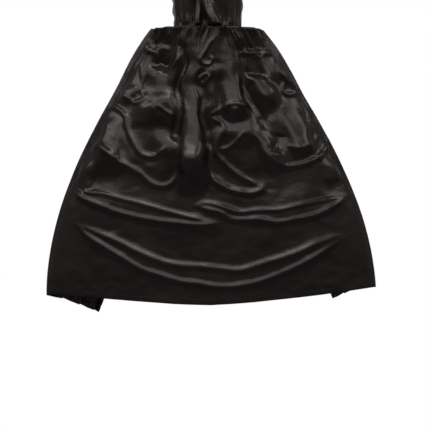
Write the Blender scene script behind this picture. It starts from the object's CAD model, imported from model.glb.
"""Looks for the hooded superhero cape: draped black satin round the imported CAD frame.

Metres, +Z up. The back of the cape faces -Y, the wearer faces +Y, and +X is the wearer's right.
"""

import math

import bpy
import numpy as np
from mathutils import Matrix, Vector, noise


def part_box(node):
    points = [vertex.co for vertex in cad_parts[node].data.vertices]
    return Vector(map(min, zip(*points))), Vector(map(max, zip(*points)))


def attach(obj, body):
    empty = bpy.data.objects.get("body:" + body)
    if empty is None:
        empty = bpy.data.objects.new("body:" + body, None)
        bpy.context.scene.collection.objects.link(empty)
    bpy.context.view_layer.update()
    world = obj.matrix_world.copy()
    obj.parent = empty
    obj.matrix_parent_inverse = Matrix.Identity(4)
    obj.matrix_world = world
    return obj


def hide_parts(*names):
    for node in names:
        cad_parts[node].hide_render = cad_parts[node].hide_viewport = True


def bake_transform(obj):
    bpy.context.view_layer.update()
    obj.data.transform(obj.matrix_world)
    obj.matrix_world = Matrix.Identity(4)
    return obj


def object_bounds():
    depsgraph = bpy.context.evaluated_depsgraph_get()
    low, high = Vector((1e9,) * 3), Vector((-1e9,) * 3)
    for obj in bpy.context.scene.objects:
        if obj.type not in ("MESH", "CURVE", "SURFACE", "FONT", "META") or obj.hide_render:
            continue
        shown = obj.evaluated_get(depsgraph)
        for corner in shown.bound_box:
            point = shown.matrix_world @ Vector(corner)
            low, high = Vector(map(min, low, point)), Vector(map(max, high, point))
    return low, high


noise.seed_set(6)  # without a seed, the noise vectors would differ at each run
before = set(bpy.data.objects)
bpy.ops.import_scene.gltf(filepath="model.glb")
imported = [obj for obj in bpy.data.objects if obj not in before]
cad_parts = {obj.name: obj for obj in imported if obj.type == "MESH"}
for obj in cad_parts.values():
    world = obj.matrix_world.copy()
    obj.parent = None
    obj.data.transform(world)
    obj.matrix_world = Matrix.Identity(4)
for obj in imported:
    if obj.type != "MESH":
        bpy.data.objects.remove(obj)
CAD_LOW, CAD_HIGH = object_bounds()

# Main sizes, read from the frame
back_low, back_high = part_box("back_panel")
HOOD_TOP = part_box("hood_right")[1].z
front_low, front_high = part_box("right_front_panel")
facing_low, facing_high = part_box("neck_facing")
CAPE_DROP = back_high.z - back_low.z
HEM_HALF = back_high.x * 1.02
FACING_INSET = 0.002  # the neck facing lies this far inside the neck seam
NECK_HALF_WIDTH = facing_high.x + FACING_INSET
NECK_HALF_DEPTH = -facing_low.y + FACING_INSET

MM = 0.001

# Drape of the cape body
SHOULDER_HALF = 0.128
SPREAD_POWER = 1.82  # how fast the sides run out from shoulder to hem
NECK_FLARE = 0.0015  # drop over which the gathers widen from the neck to the shoulders
BACK_SHARE = 0.75  # s up to this lies on the back, the rest wraps over to the fold line
# How far the back hangs behind, and the shares of the drop over which each change is made
BACK_DEPTH = 0.086
DEPTH_START, DEPTH_RUN = 0.12, 0.35
NECK_PUFF = 0.0040  # the gathers swell out this far just below the seam
NECK_PUFF_RUN = 0.125
DRAPE_TUCK = 0.006  # the cloth tucks in this far under the drapes
TUCK_START, TUCK_RUN = 0.47, 0.14
SHOULDER_PUFF = 0.014  # each side swells out this far over the shoulder
PUFF_CENTRE, PUFF_REACH = 0.08, 0.11  # shares of the drop where it swells
SHOULDER_LIFT = {1: 0.005, -1: 0.011}  # and its gathers stand this far above the seam
LIFT_START, LIFT_REACH = 0.012, 0.09
HEM_BOW = {1: 0.004, -1: 0.009}  # the hem arches this far up between the middle and each side
SIDE_FORWARD = 0.020  # the side lines come forward this far at the hem
SIDE_RISE = 0.029  # and hang this much higher than the middle
LEAN_RIGHT = 0.010  # the hem hangs this far towards +X
TILT = 0.011  # and its +X side is held this much higher
FOLD_TOP = Vector((0.030, 0.069, -0.012))
FOLD_BOTTOM = Vector((0.392, 0.040, front_low.z + 0.048))
EDGE_TOP = Vector((0.022, 0.076, -0.012))
FOLD_DROP = {1: 0.0, -1: 0.011}  # each fold line's foot hangs this much lower
EDGE_BOTTOM = Vector((0.275, front_high.y, front_low.z))
FRONT_BELLY = 0.012  # a front swells forward this far between its fold and its edge
# How far each front's lower corner hangs from the CAD's
EDGE_SHIFT = {1: Vector((0.048, -0.010, 0.010)), -1: Vector((0.028, 0.0, -0.010))}

# Grid of the whole cloth: columns over the back, each shoulder and each front
BACK_COLUMNS = 132
SHOULDER_COLUMNS = 16
FRONT_COLUMNS = 22
ROWS = 92
ROW_POWER = 1.15  # rows crowd a little towards the neck

CLOTH = 0.0009  # thickness of the satin
TRIM = 0.0006  # thickness of a hem, facing or tape band
BAND = 0.0007  # thickness of the neck ribbon, the loop and the hood's strips
BAND_INSET = 0.0015  # each band lies this far inside the cloth's outer face


def ease(value):
    value = np.clip(value, 0.0, 1.0)
    return value * value * (3.0 - 2.0 * value)


def mix(a, b, share):
    return a + (b - a) * share


# ---------------------------------------------------------------- cape body, as a smooth spread
def side_half(t):
    half = HEM_HALF - (HEM_HALF - SHOULDER_HALF) * (1.0 - np.minimum(t, 1.0)) ** SPREAD_POWER
    half = half + SHOULDER_PUFF * np.exp(-(((t - PUFF_CENTRE) / PUFF_REACH) ** 2))
    puff = SHOULDER_PUFF * math.exp(-((PUFF_CENTRE / PUFF_REACH) ** 2))
    neck = (SHOULDER_HALF - NECK_HALF_WIDTH) + puff
    return half - neck * np.exp(-t * CAPE_DROP / NECK_FLARE)


def back_depth(t):
    puff = NECK_PUFF * (1.0 - ease(t / NECK_PUFF_RUN))
    tuck = DRAPE_TUCK * ease((t - TUCK_START) / TUCK_RUN)
    grown = (BACK_DEPTH - NECK_HALF_DEPTH) * ease((t - DEPTH_START) / DEPTH_RUN)
    return NECK_HALF_DEPTH + puff - tuck + grown


def by_hand(s, pair):
    return np.where(s >= 0, pair[1], pair[-1])


def spread_point(s, t):
    """Points of the cape body; s and t are arrays, s from -1 to 1 between the fold lines."""
    half = side_half(t)
    side_y = SIDE_FORWARD * t
    hand = np.where(s >= 0, 1.0, -1.0)
    lift = by_hand(s, SHOULDER_LIFT) * ease(t / LIFT_START) * np.exp(-((t / LIFT_REACH) ** 2))
    side_z = lift - (CAPE_DROP - SIDE_RISE * t) * t
    share = np.clip(np.abs(s) / BACK_SHARE, 0, 1)
    bow = by_hand(s, HEM_BOW) * np.sin(math.pi * share) * t ** 3
    angle = share * math.pi / 2
    x = hand * half * np.sin(angle)
    y = side_y - back_depth(t) * np.cos(angle)
    back = np.stack([x, y, mix(-CAPE_DROP * t, side_z, ease(share)) + bow], axis=-1)
    turn = np.clip((np.abs(s) - BACK_SHARE) / (1.0 - BACK_SHARE), 0, 1)
    bend = turn * math.pi / 2
    fold = [mix(FOLD_TOP[i], FOLD_BOTTOM[i], t) for i in range(3)]
    x = hand * (fold[0] + (half - fold[0]) * np.cos(bend))
    y = side_y + (fold[1] - side_y) * np.sin(bend)
    z = mix(side_z, fold[2] - by_hand(s, FOLD_DROP) * t, ease(turn))
    shoulder = np.stack([x, y, z], axis=-1)
    return np.where((np.abs(s) <= BACK_SHARE)[..., None], back, shoulder)


def front_point(v, t, hand):
    """Points of a front panel; v runs from the fold line to the front edge."""
    fold = np.stack([mix(FOLD_TOP[i], FOLD_BOTTOM[i], t) for i in range(3)], axis=-1)
    fold[..., 2] -= FOLD_DROP[int(hand)] * t
    low = EDGE_BOTTOM + EDGE_SHIFT[int(hand)]
    edge = np.stack([mix(EDGE_TOP[i], low[i], t) for i in range(3)], axis=-1)
    place = fold + (edge - fold) * v[..., None]
    place[..., 1] += FRONT_BELLY * np.sin(math.pi * v) * t
    place[..., 0] *= hand
    return place


def lean(points):
    """The whole drape hangs a little towards +X and is held higher there."""
    drop = np.clip(-points[..., 2] / CAPE_DROP, 0, 1)
    points[..., 0] += LEAN_RIGHT * drop ** 2
    points[..., 2] += TILT * drop * np.clip(points[..., 0] / HEM_HALF, -1, 1)
    return points


def smooth_grid():
    """The whole cloth as rows by columns, from the left front edge round the back to the right one."""
    t = (np.arange(ROWS + 1) / ROWS) ** ROW_POWER
    back = np.linspace(-BACK_SHARE, BACK_SHARE, BACK_COLUMNS + 1)
    shoulder = np.linspace(BACK_SHARE, 1.0, SHOULDER_COLUMNS + 1)[1:]
    s = np.concatenate([-shoulder[::-1], back, shoulder])
    grid_s, grid_t = np.meshgrid(s, t)
    body = spread_point(grid_s, grid_t)
    v = np.linspace(0.0, 1.0, FRONT_COLUMNS + 1)[1:]
    grid_v, grid_tv = np.meshgrid(v, t)
    right = front_point(grid_v, grid_tv, 1.0)
    left = front_point(grid_v[:, ::-1], grid_tv, -1.0)
    return lean(np.concatenate([left, body, right], axis=1))


LEFT_FOLD = FRONT_COLUMNS
LEFT_SIDE = LEFT_FOLD + SHOULDER_COLUMNS
RIGHT_SIDE = LEFT_SIDE + BACK_COLUMNS
RIGHT_FOLD = RIGHT_SIDE + SHOULDER_COLUMNS
LAST_COLUMN = RIGHT_FOLD + FRONT_COLUMNS


def grid_normals(grid):
    """Outward unit normals of a grid of points."""
    across = np.gradient(grid, axis=1)
    down = np.gradient(grid, axis=0)
    normal = np.cross(down, across)
    length = np.linalg.norm(normal, axis=-1, keepdims=True)
    return normal / np.maximum(length, 1e-12)


# ---------------------------------------------------------------- folds
# The tables are in millimetres, x and z on the back of the cape.
# A fold is a soft ridge along a few points (x, z), with its half width and its height.
SWAGS = (
    # from the left hand, sagging to the middle
    (((-345, -408), (-274, -436), (-206, -456), (-124, -476), (-24, -492), (30, -497)), 19, 3),
    # from the right hand
    (((366, -424), (280, -456), (190, -478), (100, -477), (40, -462), (-24, -452)), 16, 3),
    # hand to hand, low over the hem
    (((-335, -500), (-251, -550), (-170, -590), (-100, -616), (-20, -628), (60, -634), (134, -620),
     (201, -596), (280, -560), (355, -524)), 24, 3.5),
)
# Thin creases where the cloth turns over: route, half width, height
CREASES = (
    # round the dark hollow at the left shoulder
    (((-152, -30), (-152, -56), (-130, -66), (-122, -94), (-104, -106), (-82, -94), (-62, -64)), 6,
     3.4),
    # curl at the left edge
    (((-168, -90), (-164, -130), (-168, -160), (-158, -178), (-182, -190), (-204, -178), (-222, -164)),
     5.5, 3),
    # left shoulder to the back, a wide U and a smaller one inside it
    (((-298, -318), (-280, -298), (-258, -312), (-232, -334), (-176, -366), (-138, -396), (-104, -402),
     (-76, -380), (-56, -342)), 7, 4.2),
    (((-262, -206), (-236, -200), (-208, -224), (-204, -254), (-184, -296), (-164, -322), (-130, -326),
     (-96, -296)), 6.5, 4),
    (((-128, -198), (-108, -212), (-86, -226)), 4.5, 2.4),
    # right shoulder and the right side
    (((80, -66), (106, -68), (128, -56), (150, -64), (168, -68)), 5, 3.2),
    (((164, -74), (186, -106), (198, -132), (190, -156), (204, -168), (236, -164)), 5.5, 3.2),
    (((240, -180), (258, -210), (262, -240)), 5.5, 2.8),
    (((200, -300), (234, -306), (268, -292), (282, -266)), 5.5, 3),
    (((160, -334), (196, -352), (240, -346), (282, -328), (306, -298), (312, -270)), 7, 4.2),
    # from the middle column across to the right
    (((4, -226), (36, -208), (68, -194), (98, -204)), 5, 2.8),
    (((4, -228), (34, -244), (40, -262), (26, -292), (24, -322), (50, -352), (94, -384), (134, -402)),
     6.5, 4),
    (((30, -312), (56, -304), (80, -282), (96, -262)), 5, 2.6),
    (((-18, -338), (-4, -366), (22, -392), (60, -412), (106, -420), (134, -412), (140, -394)), 7.5,
     4.8),
    # upper and lower edge of each swag
    (((-334, -416), (-270, -420), (-220, -433), (-170, -446), (-120, -460), (-70, -474), (22, -496)),
     5.8, 3.4),
    (((-338, -408), (-318, -431), (-270, -452), (-220, -470), (-170, -482), (-120, -491), (-20, -500),
     (22, -497)), 7, 5),
    (((-34, -452), (-5, -445), (30, -452), (60, -463), (85, -468), (130, -463), (180, -462), (230,
     -450), (280, -440), (358, -425)), 5.4, 3.4),
    (((-34, -452), (0, -460), (35, -470), (60, -485), (100, -487), (130, -486), (180, -494), (230,
     -484), (280, -473), (320, -452), (358, -427)), 6.6, 4.8),
    (((-336, -498), (-270, -523), (-220, -545), (-170, -570), (-120, -590), (-70, -602), (-20, -604),
     (30, -610), (80, -614), (130, -600), (180, -585), (230, -568), (280, -545), (350, -522)), 8, 4.4),
    (((-336, -498), (-305, -527), (-270, -550), (-220, -580), (-170, -610), (-120, -627), (-70, -642),
     (-20, -648), (30, -656), (80, -653), (130, -643), (180, -625), (230, -603), (280, -575), (350,
     -530)), 7.8, 5.6),
    # loops under the middle of the neck
    (((18, -30), (6, -44), (-4, -62), (-17, -86), (-6, -96), (6, -96), (12, -84), (4, -78)), 4, 3.4),
    (((10, -100), (10, -118), (0, -136), (-12, -146), (-20, -136), (-10, -124), (6, -122)), 4, 3.2),
    # crossed by the valley at the right
    (((86, -148), (104, -178), (122, -210), (134, -232)), 4, 2.4),
)
# Ledges: the cloth swells out towards their foot, then falls back under it.
# Centre (x, z), half sizes across and down, turn in degrees, height, fall
LEDGES = (
    ((-42, -222), (31, 100), 2, 39, 110),
    ((-40, -322), (22, 30), 10, 10, 40),
    ((-118, -150), (48, 48), -6, 14.5, 70),
    ((-192, -130), (20, 34), -32, 10, 40),
    ((-240, -262), (26, 48), -20, 14, 60),
    ((-112, -280), (30, 28), 24, 11, 60),
    ((66, -152), (28, 42), 10, 24, 44),
    ((78, -228), (40, 26), 12, 10, 70),
    ((134, -128), (20, 36), 26, 12, 70),
    ((226, -244), (26, 52), 22, 16, 44),
    ((148, -288), (20, 42), 30, 14, 50),
    ((202, -110), (14, 40), 34, 10, 40),
    ((296, -330), (16, 40), 28, 9, 40),
    ((-300, -350), (18, 30), -30, 8, 40),
    ((10, -165), (14, 30), 0, 5, 30),
    # hollows over the shoulders, where the cloth tucks in under the gathers
    ((-124, -22), (24, 18), 0, -10, 16),
    ((-98, -56), (22, 40), -35, -18, 20),
    ((122, -26), (30, 20), 0, -12, 14),
    ((130, -82), (26, 26), 0, -14, 20),
)
# Valleys that run down from the gathers between the ledges
VALLEYS = (
    (((-60, -30), (-70, -150), (-88, -290)), 10, -7),
    (((-14, -110), (-10, -220), (6, -310)), 10, -7),
    (((78, -40), (92, -140), (112, -190), (150, -262)), 10, -8),
    (((178, -262), (174, -320)), 11, -7),
)


FOLD_TAPER = 0.12  # share of a fold's length over which each end fades
RIDGE, FLAT_RIDGE, TROUGH = 2.4, 4.0, 2.0  # crowns: a higher one makes a flatter top
LEDGE_WANDER = 0.013  # the ledges' outlines wander this far
WANDER_SCALE = 0.060
BEHIND_EDGE = 0.03  # the back's folds fade out within this distance of the side lines


def smooth_curve(points, steps=14):
    """A Catmull-Rom curve through a few points."""
    made = []
    ends = [points[0]] + list(points) + [points[-1]]
    for i in range(len(points) - 1):
        a, b, c, d = (np.array(p) for p in ends[i:i + 4])
        for k in range(steps):
            u = k / steps
            cubic = (3 * b - a - 3 * c + d) * u ** 3
            made.append(0.5 * (2 * b + (c - a) * u + (2 * a - 5 * b + 4 * c - d) * u ** 2 + cubic))
    made.append(np.array(points[-1]))
    return np.array(made)


def fold_height(x, z, fold, crown):
    """Height of one fold at the points (x, z), with one of the crowns above."""
    points, half_width, height = fold[0], fold[1] * MM, fold[2] * MM
    curve = smooth_curve(points) * MM
    raised = np.zeros(x.shape)
    near = 3.0 * half_width
    low, high = curve.min(axis=0) - near, curve.max(axis=0) + near
    inside = (x > low[0]) & (x < high[0]) & (z > low[1]) & (z < high[1])
    place = np.stack([x[inside], z[inside]], axis=-1)
    start, step = curve[:-1], curve[1:] - curve[:-1]
    offset = place[:, None, :] - start
    share = np.clip(np.sum(offset * step, axis=-1) / np.sum(step * step, axis=-1), 0, 1)
    away = np.linalg.norm(offset - share[..., None] * step, axis=-1)
    nearest = np.argmin(away, axis=-1)
    row = np.arange(len(nearest))
    along = (nearest + share[row, nearest]) / len(step)
    taper = ease(along / FOLD_TAPER) * ease((1.0 - along) / FOLD_TAPER)
    reach = half_width * mix(0.55, 1.0, taper)
    bump = np.exp(-((away[row, nearest] / reach) ** crown))
    raised[inside] = height * bump * mix(0.10, 1.0, taper)
    return raised


def soft_ramp(value, low, high, rounding):
    """0 below low, 1 above high, straight between them, with rounded corners."""
    start = np.logaddexp(0, (value - low) / rounding)
    end = np.logaddexp(0, (value - high) / rounding)
    return (start - end) * rounding / (high - low)


def ledge_height(x, z, ledge):
    """Height of one ledge: an even slope down to its foot, then a slower fall."""
    centre, half_sizes, turn, height, fall = ledge
    cx, cz, across, down, height, fall = np.array((*centre, *half_sizes, height, fall)) * MM
    angle = math.radians(turn)
    u = (x - cx) * math.cos(angle) + (z - cz) * math.sin(angle)
    w = (x - cx) * math.sin(angle) - (z - cz) * math.cos(angle)
    swell = soft_ramp(w, -down, down, 0.005)
    back = 1.0 - ease((w - down) / fall)
    fan = mix(0.65, 1.20, np.clip((w + down) / (2 * down), 0, 1))
    return height * swell * back * np.exp(-np.abs(u / (across * fan)) ** 4)


def wandered(x, z, grid):
    """The same places, shifted by smooth noise, so that ledges and valleys have uneven outlines."""
    shift_x = noise_field(grid, WANDER_SCALE, 41.0)
    shift_z = noise_field(grid, WANDER_SCALE, 57.0)
    return x + LEDGE_WANDER * shift_x, z + LEDGE_WANDER * shift_z


def noise_field(points, scale, seed, stretch=(1, 1, 1), warp=0.0):
    """Smooth noise between -1 and 1 at the points of a grid; warp bends its shapes."""
    flat = points.reshape(-1, 3)
    found = np.empty(len(flat))
    for i, (x, y, z) in enumerate(flat):
        place = Vector((x / scale * stretch[0] + seed, y / scale * stretch[1], z / scale * stretch[2]))
        if warp:
            place = place + warp * noise.noise_vector(place * 0.8 + Vector((0, seed, 0)))
        found[i] = noise.noise(place)
    return found.reshape(points.shape[:-1])


PLEATS = 46  # gathers round the whole neck seam
PLEAT_HEIGHT = 0.0046
PLEAT_FADE = 0.028  # drop over which the small pleats fade out
BIG_PLEAT_HEIGHT = 0.0030
BIG_PLEAT_START, BIG_PLEAT_FADE = 0.03, 0.085
SIDE_FADE_COLUMNS = 15


def pleat_height(grid):
    """Gathers: crowded small pleats at the neck that merge into fewer, softer ones below."""
    columns = grid.shape[1]
    across = np.linspace(0, 1, columns)[None, :].repeat(grid.shape[0], axis=0)
    below = np.maximum(-grid[..., 2], 0)
    wander = noise_field(np.stack([across, across * 0, below * 0.6], axis=-1), 0.06, 3.7)
    phase = 2 * math.pi * (PLEATS * across + 1.3 * wander)
    small = np.abs(np.sin(phase)) * 1.7 - 1.0 + 0.35 * np.sin(2.3 * phase + 1.0)
    big = np.sin(phase * 0.37 + 0.8 + 2.0 * wander) + 0.5 * np.sin(phase * 0.21 + 2.0)
    fade_small = np.exp(-((below / PLEAT_FADE) ** 1.2))
    fade_big = ease(below / BIG_PLEAT_START) * np.exp(-((below / BIG_PLEAT_FADE) ** 2))
    start = mix(0.25, 1.0, ease(below / 0.004))
    return PLEAT_HEIGHT * small * fade_small * start + BIG_PLEAT_HEIGHT * big * fade_big


def side_calm(columns):
    """Strength of the back's folds: 1 over its middle, less near the side lines and round the front."""
    index = np.arange(columns)
    inside = np.minimum(index - LEFT_SIDE, RIGHT_SIDE - index)
    back = mix(0.10, 1.0, ease(inside / SIDE_FADE_COLUMNS))
    front = mix(0.10, 0.55, ease(-inside / SIDE_FADE_COLUMNS))
    return np.where(inside >= 0, back, front)[None, :]


SIDE_FOLDS = 4.3  # long folds between a side line and a front edge
SIDE_FOLD_HEIGHT = 0.0085


def side_fold_height(grid):
    """Long folds that fan out from the gathers over the shoulders and down the fronts."""
    columns = np.arange(grid.shape[1])
    left = (LEFT_SIDE - columns) / LEFT_SIDE
    right = (columns - RIGHT_SIDE) / (LAST_COLUMN - RIGHT_SIDE)
    reach = np.maximum(0.0, np.maximum(left, right))[None, :]
    hand = np.where(columns < LEFT_SIDE, 1.7, 0.0)[None, :]
    wander = noise_field(grid, 0.20, 91.0, (1.0, 1.0, 0.5))
    phase = 2 * math.pi * (SIDE_FOLDS * reach + 0.35 * wander) + hand
    wave = np.sin(phase) + 0.45 * np.sin(1.9 * phase + 0.6)
    grown = ease(-grid[..., 2] / 0.22)
    return SIDE_FOLD_HEIGHT * wave * grown * ease(reach / 0.16) * ease((1.0 - reach) / 0.06)


# Heights of the unevenness over the drapes, over the lower half, and all over
UPPER_UNEVEN, LOWER_UNEVEN, SMALL_UNEVEN = 0.0060, 0.0040, 0.0012


def folded_grid():
    """The smooth cloth with its ledges, valleys and swags raised along its normals."""
    grid = smooth_grid()
    normal = grid_normals(grid)
    x, z = grid[..., 0], grid[..., 2]
    behind = ease((BEHIND_EDGE - grid[..., 1]) / BEHIND_EDGE)
    calm = side_calm(grid.shape[1])
    raised = np.zeros_like(x)
    for fold in SWAGS:
        raised += fold_height(x, z, fold, RIDGE)
    near_x, near_z = wandered(x, z, grid)
    for ledge in LEDGES:
        raised += ledge_height(near_x, near_z, ledge)
    raised *= behind
    upper = ease((-z - 0.05) / 0.08) * (1.0 - 0.75 * ease((-z - 0.34) / 0.10))
    lower = ease((-z - 0.40) / 0.1)
    raised += UPPER_UNEVEN * upper * noise_field(grid, 0.105, 11.0, (1.0, 1.0, 1.1), 1.1)
    raised += LOWER_UNEVEN * lower * noise_field(grid, 0.16, 31.0, (1.0, 1.0, 0.7))
    raised *= calm
    raised += side_fold_height(grid)
    return grid + normal * raised[..., None]


def finer(grid, axis):
    """Twice as many spaces along one axis, through the same points and smooth between them."""
    points = np.moveaxis(grid, axis, 0)
    padded = np.concatenate([2 * points[:1] - points[1:2], points, 2 * points[-1:] - points[-2:-1]])
    middle = (9 * (padded[1:-2] + padded[2:-1]) - padded[:-3] - padded[3:]) / 16
    made = np.empty((2 * len(points) - 1,) + points.shape[1:])
    made[0::2] = points
    made[1::2] = middle
    return np.moveaxis(made, 0, axis)


def creased_grid(settled):
    """The settled cloth on a finer grid, with its thin creases, its gathers and small unevenness."""
    grid = finer(finer(settled, 0), 1)
    normal = grid_normals(grid)
    x, z = grid[..., 0], grid[..., 2]
    behind = ease((BEHIND_EDGE - grid[..., 1]) / BEHIND_EDGE)
    raised = np.zeros_like(x)
    for crease in CREASES:
        raised += fold_height(x, z, crease, RIDGE)
    near_x, near_z = wandered(x, z, grid)
    for valley in VALLEYS:
        raised += fold_height(near_x, near_z, valley, TROUGH)
    calm = np.repeat(side_calm(settled.shape[1]), 2, axis=1)[:, :-1]
    raised *= behind * calm
    uneven = noise_field(grid, 0.036, 23.0, (1.0, 1.0, 1.3), 0.6)
    raised += SMALL_UNEVEN * ease(-z / 0.05) * calm * uneven
    raised += pleat_height(grid) * np.maximum(calm, 0.20)
    grid = grid + normal * raised[..., None]
    seam = NECK_HALF_DEPTH / (NECK_HALF_DEPTH + NECK_PUFF)
    grid[0, :, 1] *= np.where(grid[0, :, 1] < 0, seam, 1.0)
    return grid


# ---------------------------------------------------------------- mesh helpers
def smooth_object(name, points, faces):
    mesh = bpy.data.meshes.new(name)
    mesh.from_pydata([tuple(point) for point in points], [], faces)
    mesh.update()
    mesh.shade_smooth()
    thing = bpy.data.objects.new(name, mesh)
    bpy.context.collection.objects.link(thing)
    return thing


def mesh_from_grid(name, grid, flip=False):
    """A sheet of quads through a grid of points."""
    rows, columns = grid.shape[:2]
    index = np.arange(rows * columns).reshape(rows, columns)
    corners = [index[:-1, :-1], index[1:, :-1], index[1:, 1:], index[:-1, 1:]]
    quads = np.stack(corners, axis=-1).reshape(-1, 4)
    if flip:
        quads = quads[:, ::-1]
    return smooth_object(name, grid.reshape(-1, 3).tolist(), quads.tolist())


def read_points(thing):
    """World points of an evaluated object, as an array."""
    graph = bpy.context.evaluated_depsgraph_get()
    evaluated = thing.evaluated_get(graph)
    mesh = evaluated.to_mesh()
    points = np.empty(len(mesh.vertices) * 3)
    mesh.vertices.foreach_get("co", points)
    evaluated.to_mesh_clear()
    return points.reshape(-1, 3)


def apply_modifiers(thing):
    bpy.context.view_layer.objects.active = thing
    thing.select_set(True)
    for modifier in list(thing.modifiers):
        bpy.ops.object.modifier_apply(modifier=modifier.name)
    thing.select_set(False)


def thicken(thing, thickness, subdivide=0):
    """Close a sheet into a thin shell and apply it."""
    if subdivide:
        smooth = thing.modifiers.new("smooth", "SUBSURF")
        smooth.levels = subdivide
        smooth.render_levels = subdivide
        smooth.boundary_smooth = "PRESERVE_CORNERS"
    solid = thing.modifiers.new("thickness", "SOLIDIFY")
    solid.thickness = thickness
    solid.offset = -1.0
    apply_modifiers(thing)
    thing.data.shade_smooth()
    return thing


# ---------------------------------------------------------------- cloth simulation
CLOTH_SETTINGS = {
    "quality": 6, "mass": 0.12, "air_damping": 2.0, "tension_stiffness": 20,
    "compression_stiffness": 12, "shear_stiffness": 6, "bending_stiffness": 0.6,
    "pin_stiffness": 1.0, "shrink_min": 0.0,
}
SIM_FRAMES = 26
SIM_CAP = 0.012  # no point moves further than this
SIM_SMOOTHING = 7
LOWER_SHARE = 0.35  # the lower half keeps this share of its movement
LOWER_START, LOWER_RUN = 0.36, 0.10


def smoothed(field, rounds):
    """A grid of vectors, averaged with its neighbours a few times."""
    for _ in range(rounds):
        for axis in (0, 1):
            padded = np.concatenate([field.take([0], axis), field, field.take([-1], axis)], axis)
            length = field.shape[axis]
            before = padded.take(range(length), axis)
            after = padded.take(range(2, length + 2), axis)
            field = 0.5 * field + 0.25 * (before + after)
    return field


def relax_cloth(grid):
    """Lets the folded cloth settle under gravity, held at the neck, the side lines and the front edges."""
    cloth = mesh_from_grid("settling_cloth", grid)
    rows, columns = grid.shape[:2]
    hold = np.zeros((rows, columns))
    hold[0:2, :] = 1.0
    for side in (LEFT_SIDE, RIGHT_SIDE):
        hold[:, side - 1:side + 2] = 1.0
    hold[:, :2] = 1.0
    hold[:, -2:] = 1.0
    group = cloth.vertex_groups.new(name="held")
    for index in np.flatnonzero(hold.ravel() > 0):
        group.add([int(index)], float(hold.ravel()[index]), "REPLACE")
    modifier = cloth.modifiers.new("cloth", "CLOTH")
    settings = modifier.settings
    for key, value in CLOTH_SETTINGS.items():
        setattr(settings, key, value)
    settings.vertex_group_mass = "held"
    modifier.collision_settings.use_collision = False
    modifier.point_cache.frame_start = 1
    modifier.point_cache.frame_end = SIM_FRAMES
    scene = bpy.context.scene
    scene.frame_start = 1
    scene.frame_end = SIM_FRAMES
    for step in range(1, SIM_FRAMES + 1):
        scene.frame_set(step)
    settled = read_points(cloth).reshape(grid.shape)
    bpy.data.objects.remove(cloth, do_unlink=True)
    scene.frame_set(1)
    move = smoothed(settled - grid, SIM_SMOOTHING)
    far = np.linalg.norm(move, axis=-1, keepdims=True)
    held_low = mix(1.0, LOWER_SHARE, ease((-grid[..., 2:3] - LOWER_START) / LOWER_RUN))
    return grid + held_low * move * np.minimum(1.0, SIM_CAP / np.maximum(far, 1e-9))


# ---------------------------------------------------------------- materials
def add_node(nodes, kind, **inputs):
    """A new shader node, its inputs set by name with spaces for the underscores."""
    node = nodes.new("ShaderNode" + kind)
    set_inputs(node, **inputs)
    return node


def set_inputs(node, **inputs):
    for key, value in inputs.items():
        node.inputs[key.replace("_", " ")].default_value = value


def new_material(name):
    made = bpy.data.materials.new(name)
    made.use_nodes = True
    tree = made.node_tree
    return made, tree.nodes, tree.links, tree.nodes["Principled BSDF"]


def mapped_noise(nodes, links, stretch, scale, detail=2.0):
    """A noise texture on object coordinates, stretched by a Mapping node."""
    place = add_node(nodes, "TexCoord")
    mapping = add_node(nodes, "Mapping", Scale=stretch)
    links.new(place.outputs["Object"], mapping.inputs["Vector"])
    texture = add_node(nodes, "TexNoise", Scale=scale, Detail=detail)
    links.new(mapping.outputs["Vector"], texture.inputs["Vector"])
    return texture.outputs["Fac"]


def add_range(nodes, links, source, low, high, ends=(0.3, 0.7)):
    """Maps the range between the ends, by default a noise's middle, onto low..high."""
    ranged = add_node(nodes, "MapRange", From_Min=ends[0], From_Max=ends[1], To_Min=low, To_Max=high)
    links.new(source, ranged.inputs["Value"])
    return ranged.outputs["Result"]


def add_ramp(nodes, links, source, target, dark, light, stops=(0.0, 1.0)):
    """Colours the target from dark to light as the source passes between the two stops."""
    ramp = add_node(nodes, "ValToRGB")
    for element, position, colour in zip(ramp.color_ramp.elements, stops, (dark, light)):
        element.position = position
        element.color = (*colour, 1)
    links.new(source, ramp.inputs["Fac"])
    links.new(ramp.outputs["Color"], target)


def add_bump(nodes, links, source, strength, distance, under=None, invert=False):
    """A bump from the source on top of the one under it."""
    bump = add_node(nodes, "Bump", Strength=strength, Distance=distance)
    bump.invert = invert
    links.new(source, bump.inputs["Height"])
    if under:
        links.new(under, bump.inputs["Normal"])
    return bump.outputs["Normal"]


def times(colour, share):
    return [channel * share for channel in colour]


def satin(name, dark, light, roughness, crumple=0.14):
    """Polyester satin: smooth floats with a fine crosswise slub, soft crumples and uneven gloss."""
    made, nodes, links, shader = new_material(name)
    tone = mapped_noise(nodes, links, (1, 1, 1), 9.0, 3.0)
    add_ramp(nodes, links, tone, shader.inputs["Base Color"], dark, light, (0.35, 0.70))
    gloss = mapped_noise(nodes, links, (1, 1, 2.5), 22.0, 4.0)
    gloss = add_range(nodes, links, gloss, roughness - 0.05, roughness + 0.06)
    links.new(gloss, shader.inputs["Roughness"])
    crease = mapped_noise(nodes, links, (1.0, 1.0, 1.7), 38.0, 3.0)
    slub = mapped_noise(nodes, links, (55.0, 55.0, 480.0), 1.0, 3.0)
    weave = mapped_noise(nodes, links, (1600.0, 1600.0, 1600.0), 1.0, 1.0)
    soft = add_bump(nodes, links, crease, crumple, 0.0030)
    fine = add_bump(nodes, links, slub, 0.80, 0.00030, soft)
    threads = add_bump(nodes, links, weave, 0.12, 0.0001, fine)
    links.new(threads, shader.inputs["Normal"])
    set_inputs(shader, Specular_IOR_Level=0.62, Anisotropic=0.35)
    set_inputs(shader, Sheen_Weight=0.04, Sheen_Roughness=0.4, Sheen_Tint=(0.85, 0.82, 0.82, 1))
    return made


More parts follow.
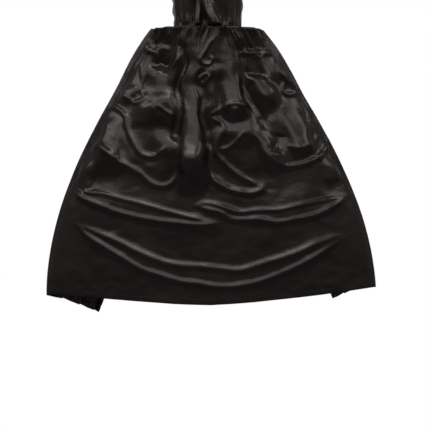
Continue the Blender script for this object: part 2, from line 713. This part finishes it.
def ribbon(name, colour, roughness, scale=1400.0):
    """Flat woven tape with a visible rib."""
    made, nodes, links, shader = new_material(name)
    rib = mapped_noise(nodes, links, (scale, scale, scale * 0.35), 1.0, 1.0)
    tone = mapped_noise(nodes, links, (60, 60, 60), 1.0, 3.0)
    add_ramp(nodes, links, tone, shader.inputs["Base Color"], times(colour, 0.75), times(colour, 1.25))
    links.new(add_bump(nodes, links, rib, 0.5, 0.0003), shader.inputs["Normal"])
    set_inputs(shader, Roughness=roughness, Sheen_Weight=0.15)
    return made


def tufted(name, colour):
    """Hook-and-loop tape: matt, with a dense pile of tiny loops."""
    made, nodes, links, shader = new_material(name)
    pile = add_node(nodes, "TexVoronoi", Scale=900.0)
    place = add_node(nodes, "TexCoord")
    links.new(place.outputs["Object"], pile.inputs["Vector"])
    tufts = pile.outputs["Distance"]
    add_ramp(nodes, links, tufts, shader.inputs["Base Color"], times(colour, 1.5), times(colour, 0.5))
    links.new(add_bump(nodes, links, tufts, 0.9, 0.0005, invert=True), shader.inputs["Normal"])
    set_inputs(shader, Roughness=0.92, Sheen_Weight=0.3)
    return made


SATIN = satin("black_satin", (0.0085, 0.0058, 0.0058), (0.0160, 0.0116, 0.0116), 0.23)
SATIN_HEM = satin("black_satin_hem", (0.0110, 0.0078, 0.0078), (0.0180, 0.0136, 0.0136), 0.30, 0.12)
RIBBON = ribbon("black_ribbon", (0.020, 0.019, 0.019), 0.60)
HOOKS = tufted("black_hook_and_loop", (0.030, 0.030, 0.031))
LABEL_CLOTH = ribbon("blank_label", (0.60, 0.59, 0.56), 0.55, 2200.0)
THREAD = ribbon("black_thread", (0.030, 0.028, 0.028), 0.45, 5000.0)


def finish_piece(thing, material, body, nodes=()):
    """Material, body, slot and the CAD nodes that a piece stands for; no body if it bends."""
    thing.data.materials.clear()
    thing.data.materials.append(material)
    if body:
        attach(thing, body)
    if nodes:
        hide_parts(*nodes)
    return thing


# ---------------------------------------------------------------- build
cloth_grid = creased_grid(relax_cloth(folded_grid()))
cloth_normals = grid_normals(cloth_grid)

# The finer grid has twice as many columns
LEFT_FOLD *= 2
RIGHT_FOLD *= 2
STITCH_LIFT = 0.0002  # the stitches stand this far off the cloth


def inner_band(name, node, rows, columns, material):
    """A strip that lies inside the cloth, along some rows and columns of its grid."""
    grid = cloth_grid[rows, columns] - cloth_normals[rows, columns] * BAND_INSET
    band = mesh_from_grid(name, grid)
    thicken(band, TRIM)
    return finish_piece(band, material, None, (node,))


def stitches(name, points, normals, length=0.0032, pitch=0.0045, width=0.00045):
    """A row of small raised stitches along a route on the cloth."""
    points, normals = np.array(points), np.array(normals)
    run = np.concatenate([[0.0], np.cumsum(np.linalg.norm(np.diff(points, axis=0), axis=1))])
    made, faces = [], []
    for start in np.arange(pitch / 2, run[-1] - length, pitch):
        ends = []
        for distance in (start, start + length):
            ends.append(np.array([np.interp(distance, run, points[:, i]) for i in range(3)]))
        up = np.array([np.interp(start, run, normals[:, i]) for i in range(3)])
        up /= np.linalg.norm(up)
        along = (ends[1] - ends[0]) / np.linalg.norm(ends[1] - ends[0])
        across = np.cross(up, along)
        centre = (ends[0] + ends[1]) / 2
        first = len(made)
        for share, size in ((-0.5, 0.35), (-0.25, 1.0), (0.25, 1.0), (0.5, 0.35)):
            spot = centre + along * length * share
            sink = -0.6 * width if abs(share) > 0.4 else 0.0
            for turn in range(4):
                angle = math.pi / 4 + turn * math.pi / 2
                offset = across * math.cos(angle) + up * math.sin(angle)
                made.append(spot + up * sink + offset * width * size)
        for ring in range(3):
            for turn in range(4):
                a, b = first + ring * 4 + turn, first + ring * 4 + (turn + 1) % 4
                faces.append((a, b, b + 4, a + 4))
        faces.append((first + 3, first + 2, first + 1, first))
        faces.append(tuple(first + 12 + turn for turn in range(4)))
    return finish_piece(smooth_object(name, made, faces), THREAD, None)


def stitch_line(name, rows, columns):
    """Stitches along one row or one column of the cloth's outer face."""
    points = cloth_grid[rows, columns] + cloth_normals[rows, columns] * STITCH_LIFT
    return stitches(name, points.reshape(-1, 3), cloth_normals[rows, columns].reshape(-1, 3))


# The back with its turned-up hem, its seam tapes and their stitching
HEM_ROWS = 4
HEM = slice(-HEM_ROWS, None)
TAPE_COLUMNS = 3
BACK = slice(LEFT_FOLD, RIGHT_FOLD + 1)
back_cloth = mesh_from_grid("back_cloth", cloth_grid[:, BACK])
thicken(back_cloth, CLOTH)
finish_piece(back_cloth, SATIN, "cape_body", ("back_panel",))
back_hem = inner_band("back_hem_band", "back_hem", HEM, BACK, SATIN_HEM)
back_trims = [back_hem, stitch_line("back_hem_stitches", -HEM_ROWS, BACK)]
for label, first in (("left", LEFT_FOLD + 1), ("right", RIGHT_FOLD - TAPE_COLUMNS)):
    columns = slice(first, first + TAPE_COLUMNS)
    node = f"{label}_seam_tape"
    tape = inner_band(f"{label}_fold_tape", node, slice(2, -2), columns, RIBBON)
    back_trims.append(tape)
for trim in back_trims:
    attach(trim, "cape_body")

# The fronts, which bend from the cape body to their own body
FACING_ROWS = slice(8, -HEM_ROWS)  # the facing starts below the throat closure
EDGE_STITCH_ROWS = slice(4, -HEM_ROWS)
FRONT_HOLD = 0.6  # the bend is placed at this share of the drop
BEND_START, BEND_END = 0.24, 0.74  # and runs between these shares of the front's width there
for side, label in ((1, "right"), (-1, "left")):
    columns = slice(RIGHT_FOLD, None) if side > 0 else slice(None, LEFT_FOLD + 1)
    edge = slice(-4, None) if side > 0 else slice(None, 4)
    edge_line = -4 if side > 0 else 3
    front = mesh_from_grid(f"{label}_front_cloth", cloth_grid[:, columns])
    thicken(front, CLOTH)
    finish_piece(front, SATIN, None, (f"{label}_front_panel",))
    node = f"{label}_front_hem"
    hem = inner_band(f"{label}_hem_band", node, HEM, columns, SATIN_HEM)
    node = f"{label}_front_facing"
    facing = inner_band(f"{label}_facing_band", node, FACING_ROWS, edge, SATIN_HEM)
    hem_line = stitch_line(f"{label}_hem_stitches", -HEM_ROWS, columns)
    edge_stitches = stitch_line(f"{label}_edge_stitches", EDGE_STITCH_ROWS, edge_line)
    fold_line = (FOLD_BOTTOM - FOLD_TOP).normalized()
    middle = FOLD_TOP.lerp(FOLD_BOTTOM, FRONT_HOLD)
    across = EDGE_TOP.lerp(EDGE_BOTTOM, FRONT_HOLD) - middle
    across -= fold_line * across.dot(fold_line)
    start = middle + across * BEND_START
    end = middle + across * BEND_END
    start.x *= side
    end.x *= side
    trims = [hem, facing, hem_line, edge_stitches]
    for thing in [front] + trims:
        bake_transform(thing)


# ---------------------------------------------------------------- hood
HOOD_CROWN = HOOD_TOP - 0.004
HOOD_HALF_WIDTH = 0.090
HOOD_BACK = 0.090
HOOD_FRONT = 0.085
FACE_HALF_WIDTH = 0.076
FRONT_DROP = 0.022  # the crown falls this far towards the face edge
NECK_ANGLE = math.radians(60)  # the hood's neck line ends this far round in front
BLEND_HEIGHT = 0.150  # the neck line's outline turns into the head's over this height
PROFILE_ROUNDNESS = 2.6  # a higher roundness makes a squarer outline
ARCH_ROUNDNESS = 3.6
FRONT_SHARE = 0.35  # share of the ribs ahead of the widest place
NAPE_RIB = 0.9996  # the last rib stops just short of the nape
HOOD_RIBS = 110
HOOD_RISES = 100
RIB_SPACING = 1.7  # ribs lie closer towards the nape
RISE_SPACING = 1.8  # rises lie closer towards the neck and the crown
HOOD_SEAM = 0.0003  # each half stops this far from the middle
NECK_SEAM = 0.0010  # the hood starts this far above the neck seam
HOOD_FOLD_TOP, HOOD_FOLD_REACH = 0.105, 0.100  # the folds fade out below this height
# Soft folds on the back of the hood, in millimetres: route (x, z), half width, height
HOOD_FOLDS = (
    (((-34, -4), (-35, 40), (-31, 110)), 5.5, -5),
    (((-23, -4), (-23, 50), (-27, 120)), 7, 14),
    (((-6, -2), (-9, 40), (-13, 100)), 4.8, -5),
    (((26, -10), (12, 20), (1, 50), (-7, 80), (-10, 120)), 14, 21),
    (((44, 4), (46, 50), (40, 100)), 6, -3.2),
    (((60, 4), (64, 50), (62, 100)), 7, 2.4),
    (((-54, 4), (-58, 50), (-60, 100)), 8, 2.6),
    (((-70, 4), (-74, 45), (-70, 90)), 6, -2.6),
)
HOOD_PLEATS = 40
HOOD_PLEAT_HEIGHT = 0.0016
HOOD_CHEEK_FOLD, HOOD_CHEEK_PITCH = 0.0028, 0.044
CASING_INSET = 0.0016
CASING_COLUMNS = 5
TAPE_INSET = 0.0018
TAPE_ROWS, TAPE_START = 4, 2
SEAM_LINE = (3, slice(2, -14))  # row and columns of the stitching along the middle
CASING_ROWS = slice(4, None)


def hood_point(rib, rise):
    """Points of the right half: rib runs from face edge to nape, rise from neck seam to crown."""
    forward = np.clip(1.0 - rib / FRONT_SHARE, 0, 1)
    turn = np.clip((rib - FRONT_SHARE) / (1.0 - FRONT_SHARE), 0, 1) * math.pi / 2
    back = np.sin(turn) ** (2 / PROFILE_ROUNDNESS)
    ahead = rib < FRONT_SHARE
    neck_turn = np.where(ahead, -NECK_ANGLE * forward, np.arcsin(np.minimum(1.0, back)))
    face_x = HOOD_HALF_WIDTH + (FACE_HALF_WIDTH - HOOD_HALF_WIDTH) * forward ** 2
    head_x = np.where(ahead, face_x, HOOD_HALF_WIDTH * np.cos(neck_turn))
    head_y = np.where(ahead, HOOD_FRONT * forward, -HOOD_BACK * back)
    fall = np.maximum(0.0, np.cos(turn)) ** (2 / PROFILE_ROUNDNESS)
    height = np.where(ahead, HOOD_CROWN - FRONT_DROP * forward ** 2, HOOD_CROWN * fall)
    angle = rise * math.pi / 2
    lift = np.sin(angle) ** (2 / ARCH_ROUNDNESS) * height
    narrow = np.maximum(0.0, np.cos(angle)) ** (2 / ARCH_ROUNDNESS)
    share = ease(lift / BLEND_HEIGHT)
    x = mix(NECK_HALF_WIDTH * np.cos(neck_turn), head_x, share) * narrow
    y = mix(-NECK_HALF_DEPTH * np.sin(neck_turn), head_y, share)
    return np.stack([x + HOOD_SEAM, y, NECK_SEAM + lift], axis=-1)


def hood_grid(side):
    """One half of the hood, rows along the rises and columns along the ribs, with its folds."""
    rib = (1.0 - (1.0 - np.linspace(0, 1, HOOD_RIBS + 1)) ** RIB_SPACING) * NAPE_RIB
    share = np.linspace(0, 1, HOOD_RISES + 1)
    rise = share ** RISE_SPACING / (share ** RISE_SPACING + (1.0 - share) ** RISE_SPACING)
    grid_rib, grid_rise = np.meshgrid(rib, rise[::-1])
    grid = hood_point(grid_rib, grid_rise)
    normal = -grid_normals(grid)
    grid[..., 0] *= side
    normal[..., 0] *= side
    x, y, z = grid[..., 0], grid[..., 1], grid[..., 2]
    behind = ease((-y - 0.02) / 0.03)
    raised = np.zeros_like(x)
    hang = ease((HOOD_FOLD_TOP - z) / HOOD_FOLD_REACH) * ease((z + 0.001) / 0.006)
    for fold in HOOD_FOLDS:
        raised += behind * hang * fold_height(x, z, fold, FLAT_RIDGE)
    around = np.arctan2(x, -y)
    low = ease(z / 0.006) * np.exp(-((z / 0.022) ** 1.3))
    phase = HOOD_PLEATS * around + 1.5 * np.sin(3.0 * around)
    raised += HOOD_PLEAT_HEIGHT * low * np.sin(phase)
    free = ease(z / 0.05) * ease((HOOD_FRONT - y) / 0.02)
    wide = noise_field(grid, 0.095, 71.0, (1.0, 0.9, 0.55), 1.1)
    raised += mix(0.0090, 0.0060, behind) * free * wide
    raised += 0.0036 * free * noise_field(grid, 0.036, 83.0, (1.0, 1.0, 0.6), 0.9)
    cheek = ease((y + 0.06) / 0.05) * ease((0.20 - z) / 0.08) * ease(z / 0.02)
    slant = z + 0.55 * y + 0.012 * noise_field(grid, 0.060, 97.0)
    wave = np.sin(2 * math.pi * slant / HOOD_CHEEK_PITCH)
    raised += HOOD_CHEEK_FOLD * cheek * wave * ease((y + 0.02) / 0.03)
    seam = np.exp(-((x / 0.005) ** 2)) * ease(z / 0.010)
    pucker = np.sin(2 * math.pi * (y * 0.7 - z) / 0.011)
    raised -= seam * (0.0016 + 0.0004 * pucker)
    grid = grid + normal * raised[..., None]
    grid[..., 0] = side * np.maximum(side * grid[..., 0], HOOD_SEAM)
    return grid, normal


def bend_hood(thing):
    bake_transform(thing)


def hood_strip(name, node, grid, material):
    strip = mesh_from_grid(name, grid)
    thicken(strip, BAND, 1)
    return finish_piece(strip, material, None, (node,))


for side, label in ((1, "right"), (-1, "left")):
    grid, normal = hood_grid(side)
    half = mesh_from_grid(f"hood_{label}_cloth", grid, flip=side > 0)
    thicken(half, CLOTH, 1)
    finish_piece(half, SATIN, None, (f"hood_{label}",))
    casing_grid = (grid - normal * CASING_INSET)[CASING_ROWS, :CASING_COLUMNS]
    node = f"hood_casing_{label}"
    casing = hood_strip(f"hood_{label}_casing", node, casing_grid, SATIN_HEM)
    sewn = grid + normal * STITCH_LIFT
    route = (CASING_ROWS, CASING_COLUMNS)
    line = stitches(f"hood_{label}_casing_stitches", sewn[route], normal[route])
    seam_line = stitches(f"hood_{label}_seam_stitches", sewn[SEAM_LINE], normal[SEAM_LINE])
    for thing in (half, casing, line, seam_line):
        bend_hood(thing)
    trims = [casing, line, seam_line]
    if side > 0:
        tape_grid = (grid - normal * TAPE_INSET)[:TAPE_ROWS, TAPE_START:]
        mirrored_grid = tape_grid.copy()
        mirrored_grid[..., 0] *= -1
        joined = np.concatenate([mirrored_grid[::-1], tape_grid], axis=0)
        tape = hood_strip("hood_seam_band", "hood_seam_tape", joined, RIBBON)
        bend_hood(tape)
        trims.append(tape)


# ---------------------------------------------------------------- neck, closure, loop and label
RING_INSET = 0.0002
RING_END = math.radians(79)  # the band runs this far past each side, round to the throat
RING_COLUMNS, RING_ROWS = 120, 9
RIPPLE, RIPPLES = 0.0004, 46


def ring_band(name, low, high, material):
    """The ribbon facing round the neck, open at the throat, following the CAD facing's box."""
    angle = np.linspace(-RING_END, math.pi + RING_END, RING_COLUMNS + 1)
    grid_angle, grid_z = np.meshgrid(angle, np.linspace(high.z, low.z, RING_ROWS))
    ripple = RIPPLE * np.sin(grid_angle * RIPPLES) * np.cos(grid_z / 0.012)
    x = -(high.x - RING_INSET + ripple) * np.cos(grid_angle)
    y = -(-low.y - RING_INSET + ripple) * np.sin(grid_angle)
    grid = np.stack([x, y, grid_z], axis=-1)
    band = mesh_from_grid(name, grid)
    thicken(band, BAND, 1)
    finish_piece(band, material, "cape_body")
    inward = np.stack([np.cos(angle), np.sin(angle), 0 * angle], axis=-1)
    lines = []
    for row, tag in ((1, "upper"), (-2, "lower")):
        route = grid[row] + inward * (BAND + 0.0001)
        line = stitches(f"{name}_{tag}_stitches", route, inward)
        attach(line, "cape_body")
        lines.append(line)
    return band, lines


facing, facing_lines = ring_band("neck_ribbon", facing_low, facing_high, RIBBON)
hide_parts("neck_facing")


TAB_RINGS, TAB_AROUND = 7, 72
TAB_SQUARENESS = 0.45  # 1 would make an ellipse, 0 a rectangle
TAB_SWELL = 0.98  # share of the CAD thickness
TAB_EDGE = 0.45  # share of that left at the edge
TAB_WAVE = 0.00012
TAB_MARGIN = 0.0018  # the stitching runs this far inside the edge


def tab_outline(half_x, half_z, angle):
    """A point on a rectangle with well rounded corners."""
    cos, sin = math.cos(angle), math.sin(angle)
    x = half_x * np.sign(cos) * abs(cos) ** TAB_SQUARENESS
    return x, half_z * np.sign(sin) * abs(sin) ** TAB_SQUARENESS


def soft_tab(name, node, material):
    """A flat fabric tab in its CAD box: rounded corners, softly crowned faces and a thin edge."""
    low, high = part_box(node)
    centre = (low + high) / 2
    half_x, half_z = (high.x - low.x) / 2, (high.z - low.z) / 2
    half_thick = (high.y - low.y) / 2
    angles = [2 * math.pi * i / TAB_AROUND for i in range(TAB_AROUND + 1)]
    made, faces = [], []
    for face in (1, -1):
        for ring in range(TAB_RINGS):
            share = 1.0 - ring / TAB_RINGS
            crown = 1.0 - share ** 6
            for angle in angles[:-1]:
                x, z = tab_outline(half_x, half_z, angle)
                wave = TAB_WAVE * math.sin(9 * angle + 2 * ring)
                y = face * half_thick * mix(TAB_EDGE, 1.0, crown) * TAB_SWELL + wave * crown
                made.append((centre.x + x * share, centre.y + y, centre.z + z * share))
        made.append((centre.x, centre.y + face * half_thick * TAB_SWELL, centre.z))
    count = TAB_RINGS * TAB_AROUND + 1
    last = (TAB_RINGS - 1) * TAB_AROUND
    for i in range(TAB_AROUND):
        j = (i + 1) % TAB_AROUND
        for base in (0, count):
            turned = 1 if base else -1
            for ring in range(0, last, TAB_AROUND):
                a, b = base + ring + i, base + ring + j
                faces.append((a, a + TAB_AROUND, b + TAB_AROUND, b)[::turned])
            faces.append((base + last + i, base + count - 1, base + last + j)[::turned])
        faces.append((i, j, j + count, i + count))
    tab = smooth_object(name, made, faces)
    body = {"closure_tab": "closure", "hook_patch": "closure"}.get(node, "cape_body")
    finish_piece(tab, material, body, (node,))
    outline = []
    for angle in angles:
        x, z = tab_outline(half_x - TAB_MARGIN, half_z - TAB_MARGIN, angle)
        outline.append((centre.x + x, centre.y + half_thick * TAB_SWELL - 0.0001, centre.z + z))
    line = stitches(f"{name}_stitches", outline, [(0, 1, 0)] * len(outline), 0.0022, 0.0032, 0.0003)
    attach(line, body)
    return tab, [line]


for name, node, material, slot in (
    ("underlap_tab", "closure_underlap", SATIN_HEM, "satin_hem"),
    ("loop_pad", "loop_patch", HOOKS, "hook_and_loop"),
    ("hook_pad", "hook_patch", HOOKS, "hook_and_loop"),
    ("peel_tab", "closure_tab", SATIN_HEM, "satin_hem"),
):
    tab, lines = soft_tab(name, node, material)


LOOP_RIBBON = 0.005  # width
LOOP_STEPS, LOOP_TURNS = 8, 24  # along each straight side and round the bend
LOOP_BOW, LOOP_TWIST = 0.0009, 0.0003


def hanging_ribbon():
    """The loop: a flat ribbon hanging in a narrow U, its two ends caught in the neck seam."""
    low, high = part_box("hanging_loop")
    middle_y = (low.y + high.y) / 2
    outer = (high.x - low.x) / 2
    radius = outer - LOOP_RIBBON / 2
    straight = (high.z - low.z) - outer
    bottom = high.z - straight
    falls = np.linspace(0, straight, LOOP_STEPS + 1)
    turns = math.pi * np.arange(1, LOOP_TURNS) / LOOP_TURNS
    route = [(radius, high.z - fall, 0.0) for fall in falls]
    route += [(radius * math.cos(t), bottom - radius * math.sin(t), t) for t in turns]
    route += [(-radius, high.z - fall, math.pi) for fall in falls[::-1]]
    rows = []
    for across in np.linspace(-1, 1, 7):
        row = []
        for count, (x, z, turn) in enumerate(route):
            bow = LOOP_BOW * math.sin(math.pi * count / (len(route) - 1))
            bow += LOOP_TWIST * (across * math.sin(2.2 * turn) + across ** 2)
            reach = across * LOOP_RIBBON / 2
            row.append((x + reach * math.cos(turn), middle_y + bow, z - reach * math.sin(turn)))
        rows.append(row)
    made = mesh_from_grid("hanging_ribbon", np.array(rows))
    thicken(made, BAND, 1)
    finish_piece(made, RIBBON, "cape_body", ("hanging_loop",))


LABEL_TURN = math.radians(27)  # the CAD label lies turned like this
LABEL_TRIM = 0.97
LABEL_CURL, LABEL_TWIST = 0.0012, 0.0005
LABEL_ROWS, LABEL_COLUMNS = 25, 19


def blank_label():
    """The label: a folded strip of woven tape with nothing on it, sewn along its top edge."""
    low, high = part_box("care_label")
    hinge = np.array(((low.x + high.x) / 2, (low.y + high.y) / 2, high.z))
    drop = high.z - low.z
    width = (high.x - low.x) / math.cos(LABEL_TURN) * LABEL_TRIM
    along = np.array((math.cos(LABEL_TURN), math.sin(LABEL_TURN), 0.0))
    out = np.array((-math.sin(LABEL_TURN), math.cos(LABEL_TURN), 0.0))
    down = np.array((0.0, 0.0, -1.0))
    grid = np.zeros((LABEL_ROWS, LABEL_COLUMNS, 3))
    for row, share in enumerate(np.linspace(0, 1, LABEL_ROWS)):
        for column, across in enumerate(np.linspace(-0.5, 0.5, LABEL_COLUMNS)):
            curl = LABEL_CURL * share ** 2 + LABEL_TWIST * math.sin(3 * across + 9 * share) * share
            grid[row, column] = hinge + along * across * width + out * curl + down * share * drop
    made = mesh_from_grid("blank_label", grid)
    thicken(made, TRIM, 1)
    finish_piece(made, LABEL_CLOTH, "label", ("care_label",))
    route = grid[1, 1:-1] + out * 0.0004
    line = stitches("label_stitches", route, [out] * len(route), 0.0016, 0.0026, 0.00025)
    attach(line, "label")


hanging_ribbon()
blank_label()

# ---------------------------------------------------------------- stage, light and camera

def white_world():
    """A white backdrop that the camera sees; the cloth reflects a dim room with a lighter wall."""
    world = bpy.data.worlds.new("studio")
    bpy.context.scene.world = world
    world.use_nodes = True
    nodes, links = world.node_tree.nodes, world.node_tree.links
    nodes.clear()
    out = add_node(nodes, "OutputWorld")
    seen = add_node(nodes, "Background", Color=(1, 1, 1, 1), Strength=1.0)
    room = add_node(nodes, "Background", Color=(1.0, 0.86, 0.86, 1))
    place = add_node(nodes, "TexCoord")
    split = add_node(nodes, "SeparateXYZ")
    links.new(place.outputs["Generated"], split.inputs["Vector"])
    wall = add_range(nodes, links, split.outputs["Y"], 0.19, 0.40, (0.45, 0.90))
    horizon = add_range(nodes, links, split.outputs["Z"], 0.30, 1.0, (-0.25, 0.0))
    dim = add_node(nodes, "Math")
    dim.operation = "MULTIPLY"
    links.new(wall, dim.inputs[0])
    links.new(horizon, dim.inputs[1])
    links.new(dim.outputs["Value"], room.inputs["Strength"])
    seen_or_room(nodes, links, room.outputs["Background"], seen.outputs["Background"], out)


def seen_or_room(nodes, links, room, seen, out):
    """Shows the camera one shader, and everything else the other."""
    pick = add_node(nodes, "MixShader")
    ray = add_node(nodes, "LightPath")
    links.new(ray.outputs["Is Camera Ray"], pick.inputs["Fac"])
    links.new(room, pick.inputs[1])
    links.new(seen, pick.inputs[2])
    links.new(pick.outputs["Shader"], out.inputs["Surface"])


def area_light(name, place, target, size, power, colour=(1.0, 0.955, 0.945)):
    data = bpy.data.lights.new(name, "AREA")
    data.shape = "RECTANGLE"
    data.size, data.size_y = size
    data.energy = power
    data.color = colour
    lamp = bpy.data.objects.new(name, data)
    bpy.context.collection.objects.link(lamp)
    lamp.visible_camera = False
    lamp.location = place
    lamp.rotation_euler = (Vector(target) - Vector(place)).to_track_quat("-Z", "Y").to_euler()
    return lamp


white_world()
centre = (0.0, 0.0, -0.35)
area_light("top_large", (-0.2, -2.5, 0.85), centre, (3.4, 1.1), 11)
area_light("top_key", (-0.3, -1.9, 1.85), centre, (2.2, 0.75), 16)
area_light("left_side", (-2.2, -1.3, 1.3), centre, (1.5, 1.0), 8)
area_light("right_side", (2.2, -1.3, 1.3), centre, (1.5, 1.0), 7)

FLOOR_Z = CAD_LOW.z - 0.325
place = (0, 0, FLOOR_Z)
bpy.ops.mesh.primitive_circle_add(vertices=96, radius=1.6, fill_type="NGON", location=place)
floor = bpy.context.object
floor.name = "pale_floor"
made, nodes, links, shader = new_material("pale_floor")
set_inputs(shader, Base_Color=(0.05, 0.05, 0.05, 1), Roughness=0.8)
set_inputs(shader, Emission_Color=(1, 1, 1, 1), Emission_Strength=0.05)
glow = add_node(nodes, "Emission", Strength=1.0)
floor_out = nodes["Material Output"]
seen_or_room(nodes, links, shader.outputs["BSDF"], glow.outputs["Emission"], floor_out)
floor.data.materials.append(made)

CAMERA_BACK = 3.5
VIEW_HEIGHT = 1.10  # metres across the frame at the cape
camera_data = bpy.data.cameras.new("camera")
camera = bpy.data.objects.new("camera", camera_data)
bpy.context.collection.objects.link(camera)
camera.location = (0.019, -CAMERA_BACK, -0.475)
camera.rotation_euler = (math.pi / 2, 0, 0)
camera_data.angle = 2 * math.atan(VIEW_HEIGHT / 2 / CAMERA_BACK)
bpy.context.scene.camera = camera
bpy.context.scene.view_settings.view_transform = "Standard"
bpy.context.scene.view_settings.look = "None"
